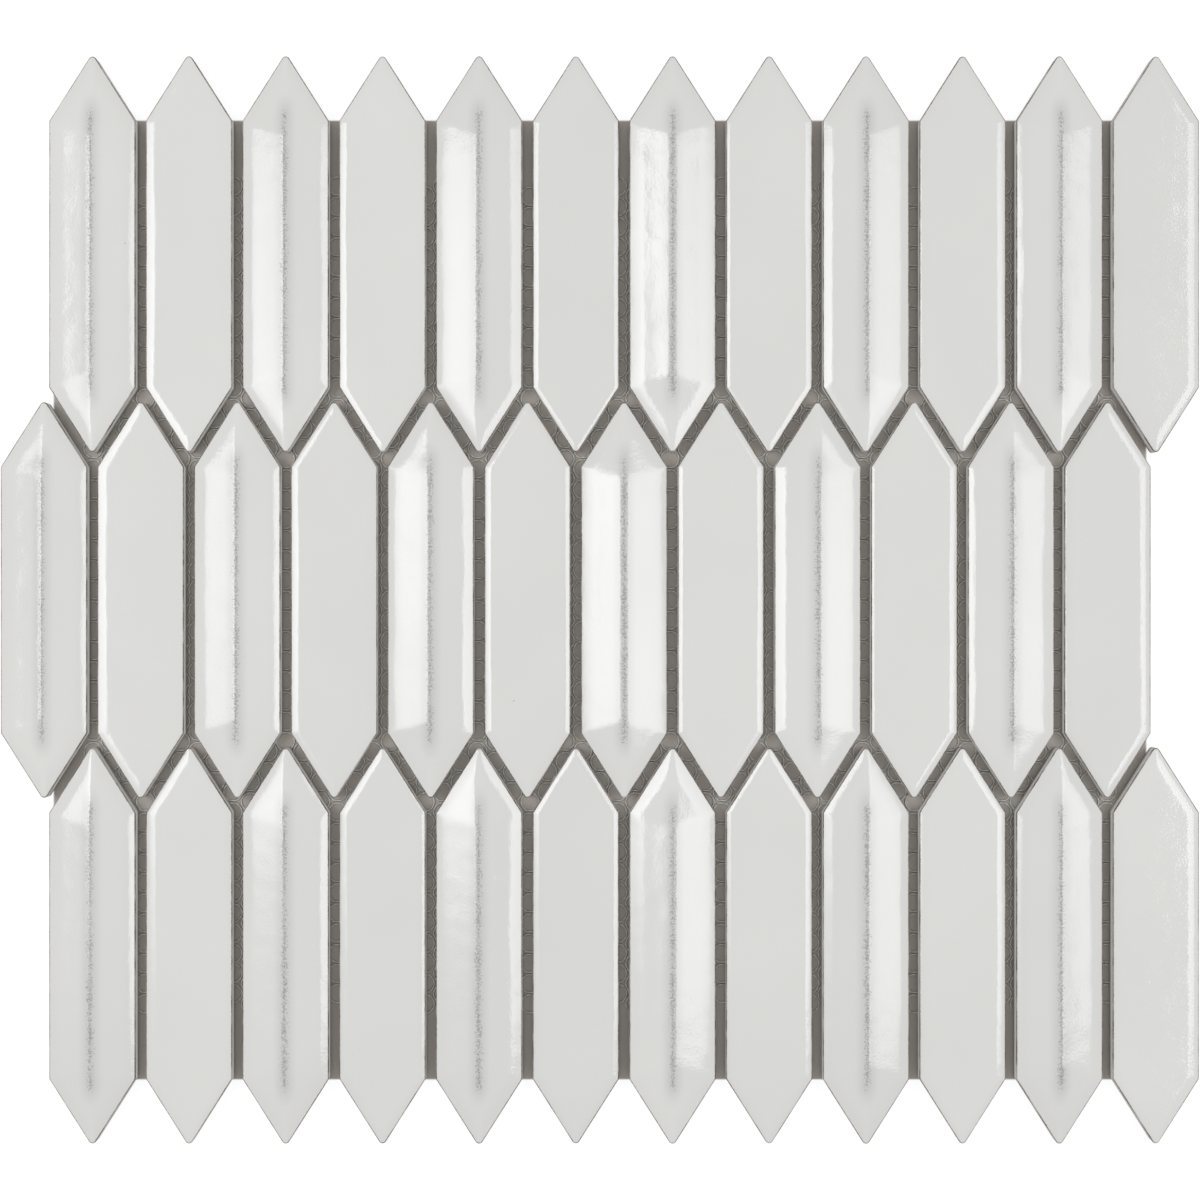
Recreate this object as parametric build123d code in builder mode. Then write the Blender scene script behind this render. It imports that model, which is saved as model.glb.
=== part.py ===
"""Picket mosaic sheet: glazed porcelain chips, crested and flat by turns, laid on a backing net.

Millimetres, +Z up. The origin is the middle of the sheet, on the floor that the net lies on.
X runs across the columns, Y along the chips.
"""
import os
from math import atan2, cos, floor, hypot, pi, radians, sin, tan

from build123d import *

# Sheet layout
row_count = 3
column_count = 12
joint_width = 2.7

# Picket outline shared by both kinds of chip
tile_width = 22.3
side_length = 68.9
tip_height = 17.6
tip_radius = 1.05

# Chip body: the wall that rises straight from the back to the glazed arris
wall_height = 5.0

# Crested chip: facets climb from the bevel to a level crest along the middle, with hips at its ends
crested_bevel_width = 2.4
crested_bevel_drop = 1.15
crest_rise = 2.05
crest_radius = 3.0

# Flat chip: a low bevel that rolls over into the level face, and the share of it that the roll takes
flat_bevel_width = 1.5
flat_bevel_drop = 0.56
flat_bevel_roll = 0.5

# Backing net: three sets of flat yarns, laid one on the other, that frame six-sided holes
net_hole_pitch = 5.26
yarn_width = 0.5
yarn_thickness = 0.14
net_grip = 3.9
net_shoulder_setback = 12.8

# Derived chip
facet_height = wall_height + crested_bevel_drop
face_height = wall_height + flat_bevel_drop
roll_length = flat_bevel_roll * hypot(flat_bevel_width, flat_bevel_drop)
roll_radius = roll_length / tan(atan2(flat_bevel_drop, flat_bevel_width) / 2)
half_width = tile_width / 2
half_side = side_length / 2
half_length = half_side + tip_height
tip_edge_length = Vector(half_width, tip_height).length
picket_corners = [
    (half_width, -half_side),
    (half_width, half_side),
    (0, half_length),
    (-half_width, half_side),
    (-half_width, -half_side),
    (0, -half_length),
]

# Derived layout: every second row moves half a column, so that the tips nest with the same joint
column_pitch = tile_width + joint_width
row_shift = column_pitch / 4
tip_slope = tip_height / half_width
joint_along_y = joint_width * tip_edge_length / half_width
row_pitch = 2 * half_length - tip_slope * column_pitch / 2 + joint_along_y

# Derived net
net_thickness = 3 * yarn_thickness
sheet_width = (column_count + 0.5) * column_pitch - joint_width
net_width = sheet_width - 2 * (tile_width - net_grip)
net_length = (row_count - 1) * row_pitch + side_length - 2 * net_shoulder_setback
yarn_pitch = net_hole_pitch * cos(pi / 6)
diagonal_angle = 30


def trim_sloping(inset, height, rise, run):
    """Trim by six planes that start at a height, inset from each wall, and climb by rise over run."""
    next_corners = picket_corners[1:] + picket_corners[:1]
    for (x, y), (next_x, next_y) in zip(picket_corners, next_corners):
        along = Vector(next_x - x, next_y - y).normalized()
        outward = Vector(along.Y, -along.X)
        foot = Vector(x, y, height) - outward * inset
        facing = outward * rise + Vector(0, 0, run)
        split(bisect_by=Plane(origin=foot, x_dir=along, z_dir=facing), keep=Keep.BOTTOM)


def lay_yarns(angle, count):
    """Draw parallel yarns at an angle to X, spaced evenly about the middle and cut to the net's edge."""
    reach = net_width + net_length
    with Locations(Rotation(0, 0, angle)):
        with GridLocations(0, yarn_pitch, 1, count):
            Rectangle(reach, yarn_width)
    Rectangle(net_width, net_length, mode=Mode.INTERSECT)


# Picket face with its two tips rounded
with BuildSketch() as picket:
    with BuildLine():
        Polyline(*picket_corners, close=True)
    make_face()
    tips = picket.vertices().sort_by(Axis.Y)
    fillet([tips[0], tips[-1]], radius=tip_radius)

# Crested chip, on its own middle
with BuildPart() as crested_chip:
    add(picket.sketch)
    extrude(amount=facet_height + crest_rise)
    trim_sloping(0, wall_height, crested_bevel_drop, crested_bevel_width)
    trim_sloping(crested_bevel_width, facet_height, crest_rise, half_width - crested_bevel_width)
    half_rise = facet_height + crest_rise / 2
    crest_and_hips = crested_chip.edges().filter_by(lambda edge: edge.bounding_box().max.Z > half_rise)
    fillet(crest_and_hips, radius=crest_radius)

# Flat chip, on its own middle
with BuildPart() as flat_chip:
    add(picket.sketch)
    extrude(amount=face_height)
    trim_sloping(0, wall_height, flat_bevel_drop, flat_bevel_width)
    face_edges = flat_chip.faces().sort_by(Axis.Z)[-1].edges()
    fillet(face_edges, radius=roll_radius)

os.makedirs("parts", exist_ok=True)

# Chips: odd columns are crested, even columns are flat
for row in range(row_count):
    shift = row_shift if row % 2 == 0 else -row_shift
    y = ((row_count - 1) / 2 - row) * row_pitch
    for column in range(column_count):
        x = (column - (column_count - 1) / 2) * column_pitch + shift
        is_crested = column % 2 == 0
        kind = "crested" if is_crested else "flat"
        chip = crested_chip if is_crested else flat_chip
        with BuildPart() as tile:
            with Locations((x, y, net_thickness)):
                add(chip.part)
        tile.part.label = f"{kind}_tile_r{row + 1}_c{column + 1:02d}"
        export_step(tile.part, f"parts/{tile.part.label}.step")

# Backing net: an even count in every set keeps the yarns from crossing three at a point
diagonal_reach = (net_width * sin(radians(diagonal_angle)) + net_length * cos(radians(diagonal_angle))) / 2
diagonal_count = 2 * floor(diagonal_reach / yarn_pitch)
upright_count = 2 * floor((net_width - yarn_width) / 2 / yarn_pitch + 0.5)
yarn_sets = [
    ("net_yarns_rising", diagonal_angle, diagonal_count),
    ("net_yarns_upright", 90, upright_count),
    ("net_yarns_falling", -diagonal_angle, diagonal_count),
]
for layer, (name, angle, count) in enumerate(yarn_sets):
    with BuildPart() as yarns:
        with BuildSketch(Plane.XY.offset(layer * yarn_thickness)):
            lay_yarns(angle, count)
        extrude(amount=yarn_thickness)
    yarns.part.label = name
    export_step(yarns.part, f"parts/{name}.step")
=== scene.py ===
"""Dress the picket mosaic sheet: glazed porcelain chips on a knitted net, and a stage to show them on."""
import math

import bpy
import numpy as np
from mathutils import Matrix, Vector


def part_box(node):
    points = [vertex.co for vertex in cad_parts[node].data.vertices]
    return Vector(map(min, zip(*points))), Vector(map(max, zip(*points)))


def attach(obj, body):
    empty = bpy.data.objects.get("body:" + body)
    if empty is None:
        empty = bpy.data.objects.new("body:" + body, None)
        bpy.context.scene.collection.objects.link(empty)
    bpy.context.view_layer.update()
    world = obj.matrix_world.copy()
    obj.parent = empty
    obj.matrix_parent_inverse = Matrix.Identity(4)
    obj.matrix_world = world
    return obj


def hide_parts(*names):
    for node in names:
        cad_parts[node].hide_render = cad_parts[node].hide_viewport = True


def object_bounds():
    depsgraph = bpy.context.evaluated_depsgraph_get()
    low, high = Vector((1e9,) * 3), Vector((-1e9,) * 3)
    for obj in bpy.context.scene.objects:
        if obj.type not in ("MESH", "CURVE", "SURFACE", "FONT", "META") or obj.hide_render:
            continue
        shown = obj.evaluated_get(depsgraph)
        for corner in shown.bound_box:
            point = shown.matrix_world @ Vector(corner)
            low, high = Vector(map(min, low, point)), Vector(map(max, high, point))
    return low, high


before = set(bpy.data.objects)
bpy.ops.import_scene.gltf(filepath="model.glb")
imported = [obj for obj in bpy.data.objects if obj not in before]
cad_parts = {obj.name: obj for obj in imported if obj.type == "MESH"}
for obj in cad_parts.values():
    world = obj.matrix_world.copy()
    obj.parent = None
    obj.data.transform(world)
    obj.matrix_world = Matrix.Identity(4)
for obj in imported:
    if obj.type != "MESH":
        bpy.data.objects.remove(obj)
CAD_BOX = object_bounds()

bl_info = {
    "name": "Picket Mosaic Sheet",
    "version": (1, 0, 0),
    "blender": (4, 5, 0),
    "location": "3D View > Sidebar > Mosaic",
    "description": "Builds glazed picket chips on a knitted net, and a stage for them",
    "category": "Add Mesh",
}

MM = 0.001
BODY = "root"
CRESTED_NODES = sorted(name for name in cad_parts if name.startswith("crested_tile"))
FLAT_NODES = sorted(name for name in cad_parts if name.startswith("flat_tile"))
NET_NODES = sorted(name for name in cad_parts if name.startswith("net_yarns"))


def linear(hex_colour):
    """An sRGB hex colour as linear red, green and blue."""
    parts = [int(hex_colour[i:i + 2], 16) / 255 for i in (1, 3, 5)]
    return tuple(c / 12.92 if c <= 0.04045 else ((c + 0.055) / 1.055) ** 2.4 for c in parts)


class MosaicChips(bpy.types.PropertyGroup):
    """Sizes and colours of the glazed chips."""

    tip_height: bpy.props.FloatProperty(
        name="Tip Height", description="From the shoulder of a chip to its sharp tip", unit="LENGTH",
        default=17.6 * MM)
    tip_radius: bpy.props.FloatProperty(
        name="Tip Radius", description="Rounding of a tip, seen from above", unit="LENGTH",
        default=1.05 * MM)
    arris_radius: bpy.props.FloatProperty(
        name="Arris Radius", description="Rounding where the wall turns into the glazed face",
        unit="LENGTH", default=0.28 * MM)
    foot_chamfer: bpy.props.FloatProperty(
        name="Foot Chamfer", description="Small slant round the back of a chip", unit="LENGTH",
        default=0.3 * MM)
    flat_bevel_width: bpy.props.FloatProperty(
        name="Flat Bevel Width", description="Width of the bevel that rolls over into a flat face",
        unit="LENGTH", default=2.8 * MM)
    flat_bevel_angle: bpy.props.FloatProperty(
        name="Flat Bevel Angle", description="Slope of a flat chip's bevel at the arris", subtype="ANGLE",
        default=math.radians(26))
    crested_bevel_width: bpy.props.FloatProperty(
        name="Crested Bevel Width", description="Width of the bevel below the facets", unit="LENGTH",
        default=2.4 * MM)
    crested_bevel_angle: bpy.props.FloatProperty(
        name="Crested Bevel Angle", description="Slope of a crested chip's bevel", subtype="ANGLE",
        default=math.radians(22.2))
    facet_angle: bpy.props.FloatProperty(
        name="Facet Angle", description="Slope in the middle of a crested chip's facets", subtype="ANGLE",
        default=math.radians(12.4))
    crest_side_angle: bpy.props.FloatProperty(
        name="Crest Side Angle", description="Slope of the hollow facets beside the crest", subtype="ANGLE",
        default=math.radians(14.2))
    crest_reach: bpy.props.FloatProperty(
        name="Crest Reach", description="Width over which the crest is rounded", unit="LENGTH",
        default=2.0 * MM)
    hip_reach: bpy.props.FloatProperty(
        name="Hip Reach", description="Difference of the distances to two sides that a hip is rounded over",
        unit="LENGTH", default=0.6 * MM)
    nod: bpy.props.FloatProperty(
        name="Nod", description="How far a chip may tip towards one of its tips", subtype="ANGLE",
        default=math.radians(0.12))
    wind: bpy.props.FloatProperty(
        name="Wind", description="How far a chip may be twisted from its middle to its tip",
        subtype="ANGLE", default=math.radians(0.3))
    glaze_colour: bpy.props.FloatVectorProperty(
        name="Glaze", description="Warm white of the glaze", subtype="COLOR", size=3,
        default=linear("#DCDBD8"))
    thin_glaze_colour: bpy.props.FloatVectorProperty(
        name="Thin Glaze", description="Grey where the glaze runs thin along the crest", subtype="COLOR",
        size=3, default=linear("#B9B9B7"))
    speck_colour: bpy.props.FloatVectorProperty(
        name="Specks", description="Grains that show through thin glaze", subtype="COLOR", size=3,
        default=linear("#9B9A97"))
    arris_colour: bpy.props.FloatVectorProperty(
        name="Arris", description="Brown line where the glaze breaks at the arris", subtype="COLOR", size=3,
        default=linear("#685A50"))
    body_colour: bpy.props.FloatVectorProperty(
        name="Body", description="Fired body on the walls and the back", subtype="COLOR", size=3,
        default=linear("#ECEAE6"))


class MosaicNet(bpy.types.PropertyGroup):
    """Sizes and colour of the backing net."""

    hole_pitch: bpy.props.FloatProperty(
        name="Hole Pitch", description="From one hole of the net to the next", unit="LENGTH",
        default=5.26 * MM)
    yarn_width: bpy.props.FloatProperty(
        name="Yarn Width", description="Width of the flattened yarn", unit="LENGTH", default=0.56 * MM)
    twist_length: bpy.props.FloatProperty(
        name="Twist Length", description="Length along the yarn of one turn of its twist", unit="LENGTH",
        default=1.824 * MM)
    yarn_colour: bpy.props.FloatVectorProperty(
        name="Yarn", description="Off-white of the yarn", subtype="COLOR", size=3,
        default=linear("#E2DFD9"))


class MosaicStage(bpy.types.PropertyGroup):
    """Camera, lamps and floor."""

    camera_height: bpy.props.FloatProperty(
        name="Camera Height", description="From the top of the chips to the camera", unit="LENGTH",
        default=640 * MM)
    frame_width: bpy.props.FloatProperty(
        name="Frame Width", description="Width of the picture at the top of the chips", unit="LENGTH",
        default=308.7 * MM)
    softbox_height: bpy.props.FloatProperty(
        name="Softbox Height", description="Height of both softboxes over the chips", unit="LENGTH",
        default=650 * MM)
    cloth_colour: bpy.props.FloatVectorProperty(
        name="Cloth", description="Light of the softboxes' cloth, slightly cool", subtype="COLOR", size=3,
        default=(0.97, 0.985, 1.0))
    left_softbox: bpy.props.FloatVectorProperty(
        name="Left Softbox", description="Where it starts and ends along X, then along Y", unit="LENGTH",
        size=4, default=(-652 * MM, -302 * MM, -245 * MM, 285 * MM))
    left_radiance: bpy.props.FloatProperty(
        name="Left Radiance", description="Brightness of the left softbox's cloth at its hot spot",
        default=6.3)
    right_softbox: bpy.props.FloatVectorProperty(
        name="Right Softbox", description="Where it starts and ends along X, then along Y", unit="LENGTH",
        size=4, default=(335 * MM, 670 * MM, -285 * MM, 285 * MM))
    right_radiance: bpy.props.FloatProperty(
        name="Right Radiance", description="Brightness of the right softbox's cloth at its hot spot",
        default=4.4)
    fill: bpy.props.FloatProperty(
        name="Fill", description="Brightness of the room around the sheet", subtype="FACTOR", default=0.59)
    floor_size: bpy.props.FloatProperty(
        name="Floor Size", description="Length of the floor's sides", unit="LENGTH", default=12.0)
    # Grey of the paper, seen only under the sheet: partly painted shade that darkens the joints
    paper_and_shade_colour: bpy.props.FloatVectorProperty(
        name="Floor", description="Matt paper", subtype="COLOR", size=3, default=linear("#C6C0B9"))


def add_node(tree, kind, inputs=None, **settings):
    """Add a node, give it its settings, and feed its inputs with plain values or other nodes' outputs."""
    node = tree.nodes.new(kind)
    for name, value in settings.items():
        setattr(node, name, value)
    for key, value in (inputs or {}).items():
        if isinstance(value, bpy.types.NodeSocket):
            tree.links.new(value, node.inputs[key])
        else:
            node.inputs[key].default_value = value
    return node


def new_material(name):
    """An empty node material and its tree, with the output node in place."""
    material = bpy.data.materials.new(name)
    material.use_nodes = True
    tree = material.node_tree
    tree.nodes.clear()
    return material, tree, tree.nodes.new("ShaderNodeOutputMaterial")


GLAZE_NAME = "glazed_porcelain_gloss"
# The noise texture seldom leaves this range
NOISE_LOW = 0.3
NOISE_HIGH = 0.7


def edge_of_glaze(tree, place, from_arris):
    """Where the glaze covers the body, and the brown line that lies along its edge.

    The edge wanders by about a twentieth of a millimetre, and the line is paler in patches. Distances are
    in millimetres from the arris: in over the face they count up, and down the wall they are negative.
    """
    wander_size = 0.55 * MM
    wander_reach = 0.05
    glaze_start, glaze_full = -0.14, 0.08
    line_fades, line_ends = 0.05, 0.18
    line_starts, line_full = -0.5, -0.2
    patch_size = 6 * MM
    patch_low, patch_high = 0.35, 0.6
    palest_patch = 0.55
    wander = add_node(tree, "ShaderNodeTexNoise", {
        "Vector": place, "Scale": 1 / wander_size, "Detail": 2.0})
    moved = add_node(tree, "ShaderNodeMapRange", {
        "Value": wander.outputs["Fac"], "From Min": NOISE_LOW, "From Max": NOISE_HIGH,
        "To Min": -wander_reach, "To Max": wander_reach})
    edge = add_node(tree, "ShaderNodeMath", {0: from_arris, 1: moved.outputs["Result"]}, operation="ADD")
    height = edge.outputs[0]
    glazed = add_node(tree, "ShaderNodeMapRange", {
        "Value": height, "From Min": glaze_start, "From Max": glaze_full},
        interpolation_type="SMOOTHSTEP")
    above = add_node(tree, "ShaderNodeMapRange", {
        "Value": height, "From Min": line_fades, "From Max": line_ends, "To Min": 1.0, "To Max": 0.0},
        interpolation_type="SMOOTHSTEP")
    below = add_node(tree, "ShaderNodeMapRange", {
        "Value": height, "From Min": line_starts, "From Max": line_full},
        interpolation_type="SMOOTHSTEP")
    line = add_node(tree, "ShaderNodeMath", {
        0: above.outputs["Result"], 1: below.outputs["Result"]}, operation="MULTIPLY")
    patches = add_node(tree, "ShaderNodeTexNoise", {
        "Vector": place, "Scale": 1 / patch_size, "Detail": 3.0})
    broken = add_node(tree, "ShaderNodeMapRange", {
        "Value": patches.outputs["Fac"], "From Min": patch_low, "From Max": patch_high,
        "To Min": palest_patch, "To Max": 1.0})
    brown = add_node(tree, "ShaderNodeMath", {
        0: line.outputs[0], 1: broken.outputs["Result"]}, operation="MULTIPLY")
    return glazed.outputs["Result"], brown.outputs[0]


def clouded_glaze(tree, place, tint, chips):
    """The glaze's white, with broad faint clouds and one tint for each chip."""
    cloud_size = 35 * MM
    cloud_depth = 0.015
    clouds = add_node(tree, "ShaderNodeTexNoise", {
        "Vector": place, "Scale": 1 / cloud_size, "Detail": 2.0})
    shade = add_node(tree, "ShaderNodeMapRange", {
        "Value": clouds.outputs["Fac"], "From Min": NOISE_LOW, "From Max": NOISE_HIGH,
        "To Min": 1 - cloud_depth, "To Max": 1 + cloud_depth})
    toned = add_node(tree, "ShaderNodeMath", {0: shade.outputs["Result"], 1: tint}, operation="MULTIPLY")
    return add_node(tree, "ShaderNodeMix", {0: 1.0, 6: (*chips.glaze_colour, 1), 7: toned.outputs[0]},
                    data_type="RGBA", blend_type="MULTIPLY").outputs[2]


def thin_glaze(tree, place, from_crest, tone, chips):
    """Glaze that greys towards the crest, and the grains of the body that show through it there.

    A grain shows where a fine noise passes a level that climbs with the distance from the crest, in
    millimetres. A slow noise moves that level, so that the grains crowd in places.
    """
    halo_width = 3.5
    halo_depth = 0.5
    grain_size = 0.45 * MM
    grain_softness = 0.28
    dense_at, sparse_at = 0.45, 1.35
    dense_level, sparse_level = 0.43, 0.63
    crowd_size = 5 * MM
    crowd_lowers, crowd_lifts = -0.04, 0.05
    halo = add_node(tree, "ShaderNodeMapRange", {
        "Value": from_crest, "From Min": 0.0, "From Max": halo_width, "To Min": halo_depth, "To Max": 0.0},
        interpolation_type="SMOOTHSTEP")
    thinned = add_node(tree, "ShaderNodeMix", {
        0: halo.outputs["Result"], 6: tone, 7: (*chips.thin_glaze_colour, 1)}, data_type="RGBA")
    grains = add_node(tree, "ShaderNodeTexNoise", {
        "Vector": place, "Scale": 1 / grain_size, "Detail": 2.0})
    spread = add_node(tree, "ShaderNodeMapRange", {
        "Value": from_crest, "From Min": dense_at, "From Max": sparse_at,
        "To Min": dense_level, "To Max": sparse_level}, clamp=False)
    crowd = add_node(tree, "ShaderNodeTexNoise", {
        "Vector": place, "Scale": 1 / crowd_size, "Detail": 1.0})
    moved = add_node(tree, "ShaderNodeMapRange", {
        "Value": crowd.outputs["Fac"], "From Min": NOISE_LOW, "From Max": NOISE_HIGH,
        "To Min": crowd_lowers, "To Max": crowd_lifts})
    level = add_node(tree, "ShaderNodeMath", {
        0: spread.outputs["Result"], 1: moved.outputs["Result"]}, operation="ADD")
    full = add_node(tree, "ShaderNodeMath", {0: level.outputs[0], 1: grain_softness}, operation="ADD")
    specks = add_node(tree, "ShaderNodeMapRange", {
        "Value": grains.outputs["Fac"], "From Min": level.outputs[0], "From Max": full.outputs[0]})
    return add_node(tree, "ShaderNodeMix", {
        0: specks.outputs["Result"], 6: thinned.outputs[2], 7: (*chips.speck_colour, 1)},
        data_type="RGBA").outputs[2]


def pinholed(tree, place, colour, chips):
    """A colour with a few pinholes.

    Each cell of a Voronoi pattern draws a number, and only the cells with the highest ones have a hole.
    """
    cell_size = 11 * MM
    hole_radius = 0.132 * MM
    hole_rim = 0.33 * MM
    hole_depth = 0.55
    bare_share = 0.78
    cells = add_node(tree, "ShaderNodeTexVoronoi", {"Vector": place, "Scale": 1 / cell_size})
    hole = add_node(tree, "ShaderNodeMapRange", {
        "Value": cells.outputs["Distance"], "From Min": hole_radius / cell_size,
        "From Max": hole_rim / cell_size, "To Min": hole_depth, "To Max": 0.0})
    drawn = add_node(tree, "ShaderNodeSeparateColor", {"Color": cells.outputs["Color"]})
    rare = add_node(tree, "ShaderNodeMath", {0: drawn.outputs[0], 1: bare_share}, operation="GREATER_THAN")
    holes = add_node(tree, "ShaderNodeMath", {
        0: hole.outputs["Result"], 1: rare.outputs[0]}, operation="MULTIPLY")
    return add_node(tree, "ShaderNodeMix", {
        0: holes.outputs[0], 6: colour, 7: (*chips.speck_colour, 1)}, data_type="RGBA").outputs[2]


def bare_body(tree, place, from_arris, chips):
    """The fired body below the glaze: a fine grit, and painted shade that darkens the wall towards its
    foot.

    Distances are in millimetres from the arris, negative down the wall.
    """
    grit_size = 0.5 * MM
    darkest_grit, palest_grit = 0.9, 1.06
    # Painted shade down the wall: darkest at the foot, and fading out this far below the arris
    shade_deep_at, shade_ends_at = -5.0, -1.8
    deepest_shade = 0.2
    grit = add_node(tree, "ShaderNodeTexNoise", {"Vector": place, "Scale": 1 / grit_size, "Detail": 4.0})
    shade = add_node(tree, "ShaderNodeMapRange", {
        "Value": grit.outputs["Fac"], "From Min": NOISE_LOW, "From Max": NOISE_HIGH,
        "To Min": darkest_grit, "To Max": palest_grit})
    # Painted shade: the wall darkens towards its foot, where the joints are deep and dim
    painted_shade = add_node(tree, "ShaderNodeMapRange", {
        "Value": from_arris, "From Min": shade_deep_at, "From Max": shade_ends_at,
        "To Min": deepest_shade, "To Max": 1.0})
    darkened = add_node(tree, "ShaderNodeMath", {
        0: shade.outputs["Result"], 1: painted_shade.outputs["Result"]}, operation="MULTIPLY")
    return add_node(tree, "ShaderNodeMix", {0: 1.0, 6: (*chips.body_colour, 1), 7: darkened.outputs[0]},
                    data_type="RGBA", blend_type="MULTIPLY").outputs[2]


def orange_peel(tree, place):
    """The fine orange peel of a fired glaze, over a slow ripple."""
    peel_size = 0.6 * MM
    peel_depth = 0.02 * MM
    ripple_size = 7 * MM
    ripple_depth = 0.1 * MM
    peel = add_node(tree, "ShaderNodeTexNoise", {"Vector": place, "Scale": 1 / peel_size, "Detail": 1.0})
    ripple = add_node(tree, "ShaderNodeTexNoise", {
        "Vector": place, "Scale": 1 / ripple_size, "Detail": 1.0})
    slow = add_node(tree, "ShaderNodeBump", {
        "Strength": 1.0, "Distance": ripple_depth, "Height": ripple.outputs["Fac"]})
    fine = add_node(tree, "ShaderNodeBump", {
        "Strength": 1.0, "Distance": peel_depth, "Height": peel.outputs["Fac"],
        "Normal": slow.outputs["Normal"]})
    return fine.outputs["Normal"]


def glazed_porcelain(chips):
    """Gloss glaze over a fired porcelain body, pressed, glazed by a curtain and fired.

    The glaze gives clear reflections broken by a fine orange peel. It runs thin along the crest, where grey
    grains of the body show, and breaks to a brown line at the arris. The walls and the back are bare and
    matt.
    """
    bare_roughness = 0.75
    glaze_roughness = 0.07
    material, tree, output = new_material(GLAZE_NAME)
    place = add_node(tree, "ShaderNodeTexCoord").outputs["Object"]
    from_arris = add_node(tree, "ShaderNodeAttribute", attribute_name="from_arris").outputs["Fac"]
    from_crest = add_node(tree, "ShaderNodeAttribute", attribute_name="from_crest").outputs["Fac"]
    tint = add_node(tree, "ShaderNodeAttribute", attribute_name="tint").outputs["Fac"]

    glazed, brown = edge_of_glaze(tree, place, from_arris)
    tone = clouded_glaze(tree, place, tint, chips)
    crest = thin_glaze(tree, place, from_crest, tone, chips)
    face = pinholed(tree, place, crest, chips)
    body = bare_body(tree, place, from_arris, chips)
    both = add_node(tree, "ShaderNodeMix", {0: glazed, 6: body, 7: face}, data_type="RGBA")
    colour = add_node(tree, "ShaderNodeMix", {
        0: brown, 6: both.outputs[2], 7: (*chips.arris_colour, 1)}, data_type="RGBA")
    roughness = add_node(tree, "ShaderNodeMapRange", {
        "Value": glazed, "To Min": bare_roughness, "To Max": glaze_roughness})
    shader = add_node(tree, "ShaderNodeBsdfPrincipled", {
        "Base Color": colour.outputs[2], "Roughness": roughness.outputs["Result"], "IOR": 1.55,
        "Normal": orange_peel(tree, place)})
    tree.links.new(shader.outputs[0], output.inputs["Surface"])
    return material


def knitted_yarn(net):
    """White polyester yarn, twisted and knitted into a net.

    It is matt and slightly fuzzy, with slanting lines of twist that catch the light along every strand, and
    painted shade that greys its lower edges. The yarn's map is in millimetres, and a slanting wave of scale
    one repeats every fifth of pi along it.
    """
    twist_depth = 0.06 * MM
    darkest_twist, palest_twist = 0.82, 1.04
    # Painted shade on the yarn: darkest at its foot, and none from this height up
    shade_deep_at, shade_ends_at = 0.1 * MM, 0.4 * MM
    deepest_shade = 0.7
    material, tree, output = new_material("polyester_yarn_knitted")
    along = add_node(tree, "ShaderNodeUVMap", uv_map="yarn").outputs["UV"]
    twist = add_node(tree, "ShaderNodeTexWave", {
        "Vector": along, "Scale": math.pi / 5 / (net.twist_length / MM), "Distortion": 1.2, "Detail": 2.0},
        wave_type="BANDS", bands_direction="DIAGONAL")
    tone = add_node(tree, "ShaderNodeMapRange", {
        "Value": twist.outputs["Fac"], "To Min": darkest_twist, "To Max": palest_twist})
    place = add_node(tree, "ShaderNodeTexCoord").outputs["Object"]
    height = add_node(tree, "ShaderNodeSeparateXYZ", {"Vector": place}).outputs["Z"]
    # Painted shade that greys the yarn's lower edges, so each strand gets a dark outline
    painted_shade = add_node(tree, "ShaderNodeMapRange", {
        "Value": height, "From Min": shade_deep_at, "From Max": shade_ends_at,
        "To Min": deepest_shade, "To Max": 1.0})
    darkened = add_node(tree, "ShaderNodeMath", {
        0: tone.outputs["Result"], 1: painted_shade.outputs["Result"]}, operation="MULTIPLY")
    colour = add_node(tree, "ShaderNodeMix", {0: 1.0, 6: (*net.yarn_colour, 1), 7: darkened.outputs[0]},
                      data_type="RGBA", blend_type="MULTIPLY")
    bump = add_node(tree, "ShaderNodeBump", {
        "Strength": 0.6, "Distance": twist_depth, "Height": twist.outputs["Fac"]})
    shader = add_node(tree, "ShaderNodeBsdfPrincipled", {
        "Base Color": colour.outputs[2], "Roughness": 0.7, "IOR": 1.5, "Normal": bump.outputs["Normal"]})
    tree.links.new(shader.outputs[0], output.inputs["Surface"])
    return material


def seen_by_viewer(tree):
    """One for rays of the camera, of a reflection or through a pane, and nought for all others."""
    path = add_node(tree, "ShaderNodeLightPath")
    seen = add_node(tree, "ShaderNodeMath", {
        0: path.outputs["Is Camera Ray"], 1: path.outputs["Is Glossy Ray"]}, operation="MAXIMUM")
    return add_node(tree, "ShaderNodeMath", {
        0: seen.outputs[0], 1: path.outputs["Is Transmission Ray"]}, operation="MAXIMUM").outputs[0]


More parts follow.
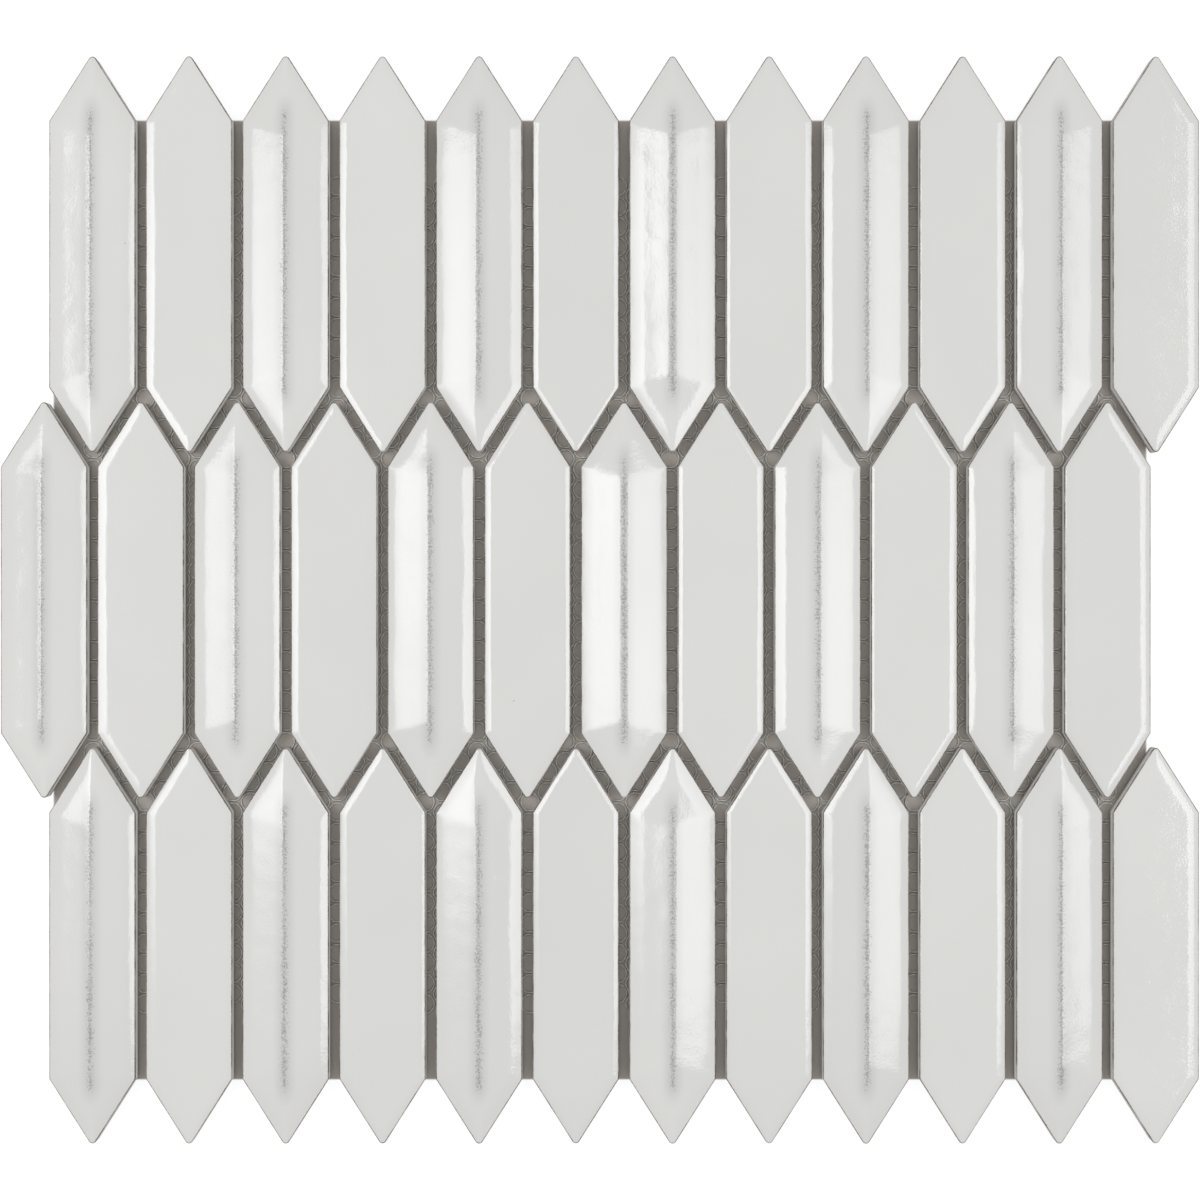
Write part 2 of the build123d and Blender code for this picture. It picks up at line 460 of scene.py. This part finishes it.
def matt_paper(stage, half_x, half_y):
    """Matt paper: it scatters evenly and takes a soft shadow.

    Seen by the viewer it is lifted to white outside the sheet, and left in the sheet's own shade under it.
    There its grey, darker than white paper, is partly painted shade that deepens the joints.
    """
    fade = 0.3 * MM
    shadow_depth = 0.2
    glow = 0.88
    material, tree, output = new_material("matt_white_paper")
    place = add_node(tree, "ShaderNodeTexCoord").outputs["Object"]
    axes = add_node(tree, "ShaderNodeSeparateXYZ", {"Vector": place})
    masks = []
    for axis, half in (("X", half_x), ("Y", half_y)):
        far = add_node(tree, "ShaderNodeMath", {0: axes.outputs[axis]}, operation="ABSOLUTE")
        mask = add_node(tree, "ShaderNodeMapRange", {
            "Value": far.outputs[0], "From Min": half - fade, "From Max": half + fade},
            interpolation_type="SMOOTHSTEP")
        masks.append(mask.outputs["Result"])
    outside = add_node(tree, "ShaderNodeMath", {0: masks[0], 1: masks[1]}, operation="MAXIMUM")
    lift = add_node(tree, "ShaderNodeMath", {
        0: seen_by_viewer(tree), 1: outside.outputs[0]}, operation="MULTIPLY")
    # The paper's grey, darker than white paper: partly painted shade in the joints seen through the net
    paper = add_node(tree, "ShaderNodeBsdfDiffuse", {"Color": (*stage.paper_and_shade_colour, 1)})
    shadow = add_node(tree, "ShaderNodeBsdfDiffuse", {
        "Color": (shadow_depth, shadow_depth, shadow_depth, 1)})
    white = add_node(tree, "ShaderNodeEmission", {"Color": (1, 1, 1, 1), "Strength": glow})
    lifted = add_node(tree, "ShaderNodeAddShader", {0: shadow.outputs[0], 1: white.outputs[0]})
    surface = add_node(tree, "ShaderNodeMixShader", {
        0: lift.outputs[0], 1: paper.outputs[0], 2: lifted.outputs[0]})
    tree.links.new(surface.outputs[0], output.inputs["Surface"])
    return material


# Steps along a quarter of the rim, over the arris and across the face
SIDE_STEPS = 18
SLANT_STEPS = 12
ARC_STEPS = 4
ARRIS_STEPS = 4
FACE_STEPS = 20
# Rings up the wall: a share of the wall's height, and a number of foot chamfers added to it
WALL_RINGS = np.array([(0, 1), (0, 2), (0.5, 0), (1, -4), (1, -2)])

# Crested face: how gradually the bevel turns into the facet, and where and how gradually the facet's hollow
# begins, as distances from the edge
BEVEL_STEP = 0.6 * MM
HOLLOW_PLACE = 6.2 * MM
HOLLOW_STEP = 0.7 * MM
# Creases of a flat face, and how far from the edge the creases of either face reach their full rounding
FLAT_MIDDLE_REACH = 0.5 * MM
FLAT_HIP_REACH = 0.1 * MM
FLAT_CALM = 1.0 * MM
CRESTED_CALM = 2.0 * MM

# Unevenness of a fired face: plane waves, and how far from the edge they reach their full height
WAVE_COUNT = 5
WAVE_LENGTHS = (20 * MM, 60 * MM)
WAVE_SLOPE = math.radians(0.12)
WAVE_CALM = 3 * MM

# How far chips differ: lean to the right and extra slope of the facets, both in degrees, the least share of
# the bevel's slope that a flat chip has, and the tint of the glaze
USUAL_LEAN = 0.35
USUAL_SWELL = 0.15
FLAT_LEAST_SHARE = 0.85
TINT_RANGE = (0.985, 1.012)
# Chips that differ most from the rest: lean, extra slope and share of the bevel's slope
CHIP_SHAPES = {
    "crested_tile_r1_c01": (0.0, 0.1, 1.12),
    "crested_tile_r2_c01": (0.1, 0.1, 1.14),
    "crested_tile_r3_c01": (0.3, 0.1, 1.12),
    "crested_tile_r1_c07": (-0.6, 0.0, 1.0),
    "crested_tile_r2_c07": (0.5, 1.2, 1.0),
    "crested_tile_r3_c07": (0.5, 0.0, 1.0),
    "flat_tile_r1_c02": (0.0, 0.0, 0.52),
    "flat_tile_r2_c02": (0.0, 0.0, 0.5),
    "flat_tile_r1_c04": (0.1, 0.0, 0.74),
    "flat_tile_r2_c04": (0.0, 0.0, 0.74),
}
# The first chip of each kind draws from this seed, and the others from the next ones
CRESTED_SEED = 1
FLAT_SEED = 101

# How far thin glaze runs past the ends of a crest before it fades
THIN_GLAZE_RUN = 4.0 * MM
# Points of a mesh that are closer than this are one point
WELD_DISTANCE = 0.0001 * MM


def picket_shape(low, high, chips):
    """Half width, half side, tip height and tip radius of the picket that fills a node's box.

    The box ends at the tips' arcs. A sharp tip lies beyond its arc by the radius times the slant's length
    over the half width, less the radius.
    """
    half_width = (high[0] - low[0]) / 2
    slant_length = math.hypot(half_width, chips.tip_height)
    half_length = (high[1] - low[1]) / 2 + chips.tip_radius * (slant_length / half_width - 1)
    return half_width, half_length - chips.tip_height, chips.tip_height, chips.tip_radius


def picket_rim(half_width, half_side, tip_height, tip_radius):
    """Points round a picket's edge, and the point of the crest line that each one looks to.

    One quarter runs up the long side, along the slant and round the tip's arc, with points crowded towards
    the corners by a sine or a cosine. The other quarters are its mirror images. A point on the long side
    looks to the same share of the crest's half length, and all the others look to the crest's end.
    """
    slant_length = math.hypot(half_width, tip_height)
    crest_half = half_side + tip_height - slant_length
    side_y = half_side * np.sin(np.linspace(0, math.pi / 2, SIDE_STEPS + 1))
    side = np.stack([np.full_like(side_y, half_width), side_y], axis=1)
    turn = np.linspace(math.atan2(half_width, tip_height), math.pi / 2, ARC_STEPS + 1)
    arc_y = half_side + tip_height - tip_radius * slant_length / half_width
    arc = np.stack([tip_radius * np.cos(turn), arc_y + tip_radius * np.sin(turn)], axis=1)
    share = (1 - np.cos(np.linspace(0, math.pi, SLANT_STEPS + 1)[1:-1, None])) / 2
    slant = side[-1] + share * (arc[0] - side[-1])
    quarter = np.concatenate([side, slant, arc])
    ends = np.full(len(slant) + len(arc), crest_half)
    spine_y = np.concatenate([side_y * crest_half / half_side, ends])
    spine = np.stack([np.zeros_like(spine_y), spine_y], axis=1)
    both = np.stack([quarter, spine])
    half = np.concatenate([both, both[:, -2::-1] * (-1, 1)], axis=1)
    return np.concatenate([half, half[:, -2:0:-1] * (1, -1)], axis=1)


def round_least(first, second, reach):
    """The lesser of two distances, with their crease rounded where they differ by under a reach.

    There it is lowered by a parabola: the square of what the difference falls short of the reach, over four
    times the reach.
    """
    overlap = np.maximum(reach - np.abs(first - second), 0)
    return np.minimum(first, second) - overlap ** 2 / (4 * reach)


def rounded_inset(x, y, shape, crest_reach, hip_reach, calm):
    """How far points lie inside the picket's edge, with the creases between its sides rounded off.

    The distance to each side is linear, and the least counts. Past the centre of a tip's arc it is the
    arc's radius less the distance to that centre. Rounding the side and the slant of each half gives the
    hips, and rounding the two halves gives the crest. Closer to the edge than calm both reaches shrink with
    the distance, so that the edge itself stays level.
    """
    least_shrink = 0.01
    half_width, half_side, tip_height, tip_radius = shape
    slant_length = math.hypot(half_width, tip_height)
    across = np.abs(x)
    ahead = half_side + tip_height - np.abs(y)
    sides = [half_width - u for u in (across, -across)]
    slants = [(half_width * ahead - tip_height * u) / slant_length for u in (across, -across)]
    least = np.minimum(sides[0], slants[0])
    past = tip_radius * slant_length / half_width - ahead
    in_arc = (past > 0) & (across * half_width <= past * tip_height)
    inset = np.where(in_arc, tip_radius - np.hypot(x, past), least)
    shrink = np.clip(inset / calm, least_shrink, 1)
    near, far = (round_least(side, slant, hip_reach * shrink) for side, slant in zip(sides, slants))
    return inset + round_least(near, far, crest_reach * shrink) - least


def softplus(value):
    """The smooth ramp log(1 + exp(value)), the integral of a smooth step."""
    return np.logaddexp(0, value)


def crested_rise(inset, bevel_share, chips):
    """Height over the arris of a crested face.

    Its slope is the facet's, plus a smooth step up towards the arris at the bevel's width and a smooth step
    up beside the crest. So the height is a straight line plus two softplus ramps. The bevel has its own
    share of the usual slope.
    """
    facet = math.tan(chips.facet_angle)
    bevel_place = chips.crested_bevel_width
    bevel = (bevel_share * math.tan(chips.crested_bevel_angle) - facet) * BEVEL_STEP
    hollow = (math.tan(chips.crest_side_angle) - facet) * HOLLOW_STEP
    below = softplus(bevel_place / BEVEL_STEP) - softplus((bevel_place - inset) / BEVEL_STEP)
    beside = softplus((inset - HOLLOW_PLACE) / HOLLOW_STEP) - softplus(-HOLLOW_PLACE / HOLLOW_STEP)
    return facet * inset + bevel * below + hollow * beside


def flat_rise(inset, chips):
    """Height over the arris of a flat face: a parabola over the bevel's width, then level."""
    along = np.minimum(inset / chips.flat_bevel_width, 1)
    return math.tan(chips.flat_bevel_angle) * chips.flat_bevel_width * (along - along ** 2 / 2)


def slow_waves(x, y, draw):
    """Gentle unevenness of a fired face: a sum of plane waves, each of the same steepest slope."""
    heading = draw.uniform(0, 2 * math.pi, (WAVE_COUNT, 1, 1))
    length = draw.uniform(*WAVE_LENGTHS, (WAVE_COUNT, 1, 1))
    phase = draw.uniform(0, 2 * math.pi, (WAVE_COUNT, 1, 1))
    turn = (x * np.cos(heading) + y * np.sin(heading)) * 2 * math.pi / length + phase
    return (WAVE_SLOPE * length / (2 * math.pi) * np.sin(turn)).sum(axis=0)


def top_rise(node, x, y, shape, chips, crested, draw):
    """Height of a chip's top over its arris, and how far each point lies inside the edge.

    The face is lowered by the arris's own round, a quarter of a circle, and raised by slow waves that calm
    down towards the edge. Then the chip leans, nods and winds: planes in x and y, and their product.
    """
    least_share = 1.0 if crested else FLAT_LEAST_SHARE
    usual = draw.uniform((-USUAL_LEAN, -USUAL_SWELL, least_share), (USUAL_LEAN, USUAL_SWELL, 1.0))
    lean, swell, bevel_share = CHIP_SHAPES.get(node, usual)
    if crested:
        inset = rounded_inset(x, y, shape, chips.crest_reach, chips.hip_reach, CRESTED_CALM)
        rise = crested_rise(inset, bevel_share, chips) + math.radians(swell) * inset
    else:
        inset = rounded_inset(x, y, shape, FLAT_MIDDLE_REACH, FLAT_HIP_REACH, FLAT_CALM)
        rise = bevel_share * flat_rise(inset, chips)
    short = np.clip(1 - inset / chips.arris_radius, 0, 1)
    rise = rise - chips.arris_radius * (1 - np.sqrt(1 - short ** 2))
    rise = rise + np.clip(inset / WAVE_CALM, 0, 1) ** 2 * slow_waves(x, y, draw)
    nod, wind = draw.uniform(-1, 1, 2) * (chips.nod, chips.wind)
    half_length = shape[1] + shape[2]
    rise = rise - (math.radians(lean) + wind * y / half_length) * x + nod * y
    return rise, inset


def put_mesh(name, points, faces, attributes):
    """A smoothly shaded mesh object from a grid's points and quads.

    Doubles are welded, each quad is cut in two and what has no area is dropped.
    """
    rounded = np.round(points / WELD_DISTANCE).astype(np.int64)
    _, first, welded = np.unique(rounded, axis=0, return_index=True, return_inverse=True)
    quads = welded.reshape(-1)[faces]
    triangles = np.concatenate([quads[:, [0, 1, 2]], quads[:, [0, 2, 3]]])
    whole = (triangles != np.roll(triangles, -1, axis=1)).all(axis=1)
    mesh = bpy.data.meshes.new(name)
    mesh.from_pydata(points[first].tolist(), [], triangles[whole].tolist())
    for key, values in attributes.items():
        data = mesh.attributes.new(key, "FLOAT", "POINT").data
        data.foreach_set("value", values[first].astype(np.float32))
    mesh.shade_smooth()
    piece = bpy.data.objects.new(name, mesh)
    bpy.context.scene.collection.objects.link(piece)
    return piece


def make_chip(node, chips, number, crested):
    """One chip as one closed surface.

    Rings shrink from the rim to the crest line, at heights that go from the middle of the back out to the
    wall, up it, over the arris and in to the crest.
    """
    low, high = (np.array(corner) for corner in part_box(node))
    centre = (low + high) / 2
    shape = picket_shape(low, high, chips)
    half_width, half_side, tip_height, _ = shape
    rim, spine = picket_rim(*shape)
    draw = np.random.default_rng(number)

    # Shares of the way from the rim to the crest line: back, wall, arris and face
    foot = chips.foot_chamfer
    back = np.array([half_width, 0.5 * half_width, 2 * foot, foot])
    arris = chips.arris_radius * (1 - np.cos(np.linspace(0, math.pi / 2, ARRIS_STEPS + 1)))
    reach = half_width - chips.arris_radius
    face = chips.arris_radius + reach * (1 - np.cos(np.linspace(0, math.pi, FACE_STEPS + 1)[1:])) / 2
    share = np.concatenate([back, np.zeros(len(WALL_RINGS)), arris, face])[:, None, None] / half_width
    plan = (1 - share) * rim + share * spine
    x, y = plan[..., 0], plan[..., 1]

    # Heights: the top hangs from the node's highest point, and the wall ends at the top's rim
    first = len(back) + len(WALL_RINGS)
    rise, inset = top_rise(node, x[first:], y[first:], shape, chips, crested, draw)
    rise = rise + (high[2] - low[2] - rise.max())
    wall_top = rise[0]
    wall = WALL_RINGS[:, :1] * wall_top + WALL_RINGS[:, 1:] * foot
    z = np.concatenate([np.zeros((len(back), len(rim))), wall, rise])
    points = np.stack([x, y, z], axis=-1) + (centre[0], centre[1], low[2])

    # For the glaze: the distance from the arris, down the wall or up the face, and the one from the crest
    from_arris = np.concatenate([z[:first] - wall_top, inset]) - chips.arris_radius / 2
    half_length = half_side + tip_height
    crest_half = half_length - math.hypot(half_width, tip_height)
    beyond = np.maximum(np.abs(y) - crest_half - THIN_GLAZE_RUN, 0) / 2
    from_crest = np.hypot(x, beyond) if crested else np.full_like(x, half_length)
    tint = np.full_like(x, draw.uniform(*TINT_RANGE))
    attributes = {"from_arris": from_arris.ravel() / MM, "from_crest": from_crest.ravel() / MM,
                  "tint": tint.ravel()}

    rings, around = x.shape
    ring, step = np.meshgrid(np.arange(rings - 1), np.arange(around), indexing="ij")
    ahead = (step + 1) % around
    corners = [ring * around + step, ring * around + ahead,
               (ring + 1) * around + ahead, (ring + 1) * around + step]
    quads = np.stack(corners, axis=-1).reshape(-1, 4)
    return put_mesh("glazed_" + node, points.reshape(-1, 3), quads, attributes)


def dress_chips(nodes, chips, first_seed, crested):
    """Make the chips that stand for these nodes, and give them one shared glaze."""
    material = bpy.data.materials.get(GLAZE_NAME) or glazed_porcelain(chips)
    for number, node in enumerate(nodes, first_seed):
        chip = make_chip(node, chips, number, crested)
        chip.data.materials.append(material)
        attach(chip, BODY)
        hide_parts(node)


RING_STEPS = 18
# How far a ring's radius swings, so that it lies flat against its neighbours
RING_FLATTENING = 0.03 * MM
# Corners of the yarn's section: half widths from its middle, and shares of its height
YARN_SECTION = np.array([(1, 0), (0.5, 1), (-0.5, 1), (-1, 0)])
YARN_SIDES = len(YARN_SECTION)


def ring_centres(low, high, net):
    """Middles of the rings: columns of a six-sided pattern, every second one moved by half a pitch.

    As many columns and rows are laid about the middle as the net's box has room for.
    """
    half_x, half_y = (high - low)[:2] / 2
    column_pitch = net.hole_pitch * math.cos(math.pi / 6)
    columns = math.floor((half_x - net.hole_pitch / 2) / column_pitch)
    rows = math.floor((half_y - net.hole_pitch) / net.hole_pitch)
    across, up = np.arange(-columns, columns + 1), np.arange(-rows, rows + 1)
    column, row = np.meshgrid(across, up, indexing="ij")
    x = column * column_pitch
    y = (row + np.where(column % 2, 0.5, 0.0)) * net.hole_pitch
    return np.stack([x.ravel(), y.ravel()], axis=1) + (low + high)[:2] / 2


def yarn_rings(centres, radius, yarn_width, thickness):
    """Rings of yarn round the holes of the net.

    A ring's radius is a circle's less a cosine of six times the heading, so that it lies flat against its
    six neighbours. A section with a flat top half as wide as its foot is carried along it.
    """
    heading = np.linspace(0, 2 * math.pi, RING_STEPS, endpoint=False)[:, None]
    across, up = YARN_SECTION.T
    swing = RING_FLATTENING * np.cos(6 * (heading - math.pi / 6))
    reach = radius + RING_FLATTENING - swing + yarn_width / 2 * across
    height = thickness * up + 0 * heading
    ring = np.stack([reach * np.cos(heading), reach * np.sin(heading), height], axis=-1)
    spots = np.concatenate([centres, np.zeros((len(centres), 1))], axis=1)
    return (spots[:, None, None, :] + ring).reshape(-1, 3)


def yarn_faces(count):
    """Quads of all the rings, and each corner's place along and around the yarn, in steps and sides.

    They are wound so that they face out of the yarn.
    """
    step, side = np.meshgrid(np.arange(RING_STEPS), np.arange(YARN_SIDES), indexing="ij")
    corners = [(step, side), (step + 1, side), (step + 1, side + 1), (step, side + 1)]
    quad = np.stack([(a % RING_STEPS) * YARN_SIDES + b % YARN_SIDES for a, b in corners], axis=-1)
    quads = np.arange(count)[:, None, None] * RING_STEPS * YARN_SIDES + quad.reshape(1, -1, 4)
    place = np.stack([np.stack([a, b], axis=-1) for a, b in corners], axis=-2).reshape(-1, 2)
    return quads.reshape(-1, 4), np.tile(place, (count, 1))


def make_net_half(name, centres, net, thickness):
    """One half of the net as one mesh of rings, with the yarn's own map in millimetres.

    Along the yarn the map is a ring's length, and around it about twice the yarn's width.
    """
    radius = net.hole_pitch / 2 - net.yarn_width / 2
    points = yarn_rings(centres, radius, net.yarn_width, thickness)
    quads, place = yarn_faces(len(centres))
    mesh = bpy.data.meshes.new(name)
    mesh.from_pydata(points.tolist(), [], quads.tolist())
    ring_length = 2 * math.pi * radius / MM
    girth = 2 * net.yarn_width / MM
    uv = place * (ring_length / RING_STEPS, girth / YARN_SIDES)
    mesh.uv_layers.new(name="yarn").data.foreach_set("uv", uv.astype(np.float32).ravel())
    mesh.shade_smooth()
    piece = bpy.data.objects.new(name, mesh)
    bpy.context.scene.collection.objects.link(piece)
    return piece


SENSOR_WIDTH = 36.0
# The floor lies a hair below the net, and its shaded part ends this far outside the chips' shoulders
FLOOR_GAP = 0.02 * MM
SHADE_MARGIN = 2.0 * MM
# Glow of the softboxes: shares at the edges across, the hot spot along, and where the low end's fade stops
LEFT_GLOW = ((0.52, 1.0), 0.63, 0.32)
RIGHT_GLOW = ((1.0, 0.75), 0.4, 0.08)
# Share of the glow that is lost over a softbox's length from its hot spot
GLOW_FALL = 0.6


def hang_softbox(name, edges, height, radiance, cloth_colour, glow):
    """A level softbox whose cloth glows less away from its hot spot.

    Its glow is a straight ramp across it, between two shares, times a tent along it that falls from the hot
    spot, times a smooth fade over its lower end. The hot spot and the fade are shares of its length.
    """
    left, right, near, far = edges
    across, hot_spot, low_fade = glow
    lamp = bpy.data.lights.new(name, "AREA")
    lamp.shape = "RECTANGLE"
    lamp.size = right - left
    lamp.size_y = far - near
    # With this energy the strength of the cloth's emission is its radiance
    lamp.energy = math.pi * lamp.size * lamp.size_y
    lamp.use_nodes = True
    tree = lamp.node_tree
    tree.nodes.clear()
    spot = add_node(tree, "ShaderNodeNewGeometry").outputs["Parametric"]
    share = add_node(tree, "ShaderNodeSeparateXYZ", {"Vector": spot})
    ramp = add_node(tree, "ShaderNodeMapRange", {
        "Value": share.outputs["X"], "To Min": across[0] * radiance, "To Max": across[1] * radiance})
    away = add_node(tree, "ShaderNodeMath", {0: share.outputs["Y"], 1: hot_spot}, operation="SUBTRACT")
    apart = add_node(tree, "ShaderNodeMath", {0: away.outputs[0]}, operation="ABSOLUTE")
    tent = add_node(tree, "ShaderNodeMapRange", {
        "Value": apart.outputs[0], "To Min": 1.0, "To Max": 1 - GLOW_FALL})
    fade = add_node(tree, "ShaderNodeMapRange", {"Value": share.outputs["Y"], "From Max": low_fade},
                    interpolation_type="SMOOTHSTEP")
    tented = add_node(tree, "ShaderNodeMath", {
        0: ramp.outputs["Result"], 1: tent.outputs["Result"]}, operation="MULTIPLY")
    strength = add_node(tree, "ShaderNodeMath", {
        0: tented.outputs[0], 1: fade.outputs["Result"]}, operation="MULTIPLY")
    cloth = add_node(tree, "ShaderNodeEmission", {
        "Color": (*cloth_colour, 1), "Strength": strength.outputs[0]})
    add_node(tree, "ShaderNodeOutputLight", {"Surface": cloth.outputs[0]})
    holder = bpy.data.objects.new(name, lamp)
    holder.location = ((left + right) / 2, (near + far) / 2, height)
    holder.visible_camera = False
    bpy.context.scene.collection.objects.link(holder)


def place_camera(scene, stage, top):
    """A camera straight over the middle of the sheet, with the lens that gives the frame's width."""
    camera = bpy.data.cameras.new("camera")
    camera.sensor_width = SENSOR_WIDTH
    camera.lens = SENSOR_WIDTH * stage.camera_height / stage.frame_width
    eye = bpy.data.objects.new("camera", camera)
    eye.location = (0, 0, top + stage.camera_height)
    scene.collection.objects.link(eye)
    scene.camera = eye


def light_room(scene, stage):
    """An even room: the viewer sees it white, and it fills the shadows with its own brightness."""
    world = bpy.data.worlds.new("studio_room")
    world.use_nodes = True
    tree = world.node_tree
    tree.nodes.clear()
    fill = add_node(tree, "ShaderNodeBackground", {"Color": (1, 1, 1, 1), "Strength": stage.fill})
    white = add_node(tree, "ShaderNodeBackground", {"Color": (1, 1, 1, 1), "Strength": 1.0})
    mixed = add_node(tree, "ShaderNodeMixShader", {
        0: seen_by_viewer(tree), 1: fill.outputs[0], 2: white.outputs[0]})
    add_node(tree, "ShaderNodeOutputWorld", {"Surface": mixed.outputs[0]})
    scene.world = world


def lay_floor(scene, stage):
    """A square of paper just under the net, shaded as far as the first row and the shoulders reach."""
    corner = stage.floor_size / 2
    level = CAD_BOX[0].z - FLOOR_GAP
    mesh = bpy.data.meshes.new("floor")
    mesh.from_pydata([(-corner, -corner, level), (corner, -corner, level), (corner, corner, level),
                      (-corner, corner, level)], [], [(0, 1, 2, 3)])
    boxes = [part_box(node) for node in CRESTED_NODES + FLAT_NODES]
    first_row = [(low, high) for low, high in boxes if low.y > 0]
    half_x = min(max(high.x for _, high in first_row), -min(low.x for low, _ in first_row))
    half_y = max(high.y for _, high in boxes) - scene.mosaic_chips.tip_height + SHADE_MARGIN
    mesh.materials.append(matt_paper(stage, half_x, half_y))
    floor = bpy.data.objects.new("floor", mesh)
    scene.collection.objects.link(floor)


class MOSAIC_OT_stage(bpy.types.Operator):
    """Set up the camera straight over the sheet, two softboxes, the room's fill and the floor."""

    bl_idname = "mosaic.stage"
    bl_label = "Stage"

    def execute(self, context):
        scene = context.scene
        stage = scene.mosaic_stage
        top = CAD_BOX[1].z
        scene.view_settings.view_transform = "Standard"
        place_camera(scene, stage, top)

        # Both softboxes lie in one level plane, so their place in the glaze follows from their edges alone
        height = top + stage.softbox_height
        hang_softbox("softbox_left", stage.left_softbox, height, stage.left_radiance, stage.cloth_colour,
                     LEFT_GLOW)
        hang_softbox("softbox_right", stage.right_softbox, height, stage.right_radiance, stage.cloth_colour,
                     RIGHT_GLOW)
        light_room(scene, stage)
        lay_floor(scene, stage)
        return {"FINISHED"}


class MOSAIC_OT_backing_net(bpy.types.Operator):
    """Knit the backing net, in two halves that meet at the middle."""

    bl_idname = "mosaic.backing_net"
    bl_label = "Backing Net"

    def execute(self, context):
        net = context.scene.mosaic_net
        corners = np.array([[*low, *high] for low, high in map(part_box, NET_NODES)])
        low, high = corners[:, :3].min(axis=0), corners[:, 3:].max(axis=0)
        centres = ring_centres(low, high, net)
        thickness = high[2] - low[2]
        material = knitted_yarn(net)
        left = centres[:, 0] < 0
        for name, chosen in (("net_half_left", left), ("net_half_right", ~left)):
            half = make_net_half(name, centres[chosen], net, thickness)
            half.data.materials.append(material)
            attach(half, BODY)
            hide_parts(*NET_NODES)
        return {"FINISHED"}


class MOSAIC_OT_crested_chips(bpy.types.Operator):
    """Make the crested chips, glazed, in their places."""

    bl_idname = "mosaic.crested_chips"
    bl_label = "Crested Chips"

    def execute(self, context):
        dress_chips(CRESTED_NODES, context.scene.mosaic_chips, CRESTED_SEED, True)
        return {"FINISHED"}


class MOSAIC_OT_flat_chips(bpy.types.Operator):
    """Make the flat chips, glazed, in their places."""

    bl_idname = "mosaic.flat_chips"
    bl_label = "Flat Chips"

    def execute(self, context):
        dress_chips(FLAT_NODES, context.scene.mosaic_chips, FLAT_SEED, False)
        return {"FINISHED"}


class MOSAIC_PT_panel(bpy.types.Panel):
    """Lists the steps of the sheet."""

    bl_idname = "MOSAIC_PT_panel"
    bl_label = "Picket Mosaic"
    bl_space_type = "VIEW_3D"
    bl_region_type = "UI"
    bl_category = "Mosaic"

    def draw(self, context):
        for step in STEPS:
            self.layout.operator(step.bl_idname)


SETTINGS = {"mosaic_chips": MosaicChips, "mosaic_net": MosaicNet, "mosaic_stage": MosaicStage}
STEPS = (MOSAIC_OT_stage, MOSAIC_OT_backing_net, MOSAIC_OT_crested_chips, MOSAIC_OT_flat_chips)
CLASSES = (*SETTINGS.values(), *STEPS, MOSAIC_PT_panel)


def register():
    """Register the classes, and hang the settings on the scene."""
    for cls in CLASSES:
        bpy.utils.register_class(cls)
    for name, group in SETTINGS.items():
        setattr(bpy.types.Scene, name, bpy.props.PointerProperty(type=group))


def unregister():
    """Take the settings and the classes away again."""
    for name in SETTINGS:
        delattr(bpy.types.Scene, name)
    for cls in reversed(CLASSES):
        bpy.utils.unregister_class(cls)


def main():
    """Build the stage, the net and the chips."""
    register()
    bpy.ops.mosaic.stage()
    bpy.ops.mosaic.backing_net()
    bpy.ops.mosaic.crested_chips()
    bpy.ops.mosaic.flat_chips()


if __name__ == "__main__":
    main()
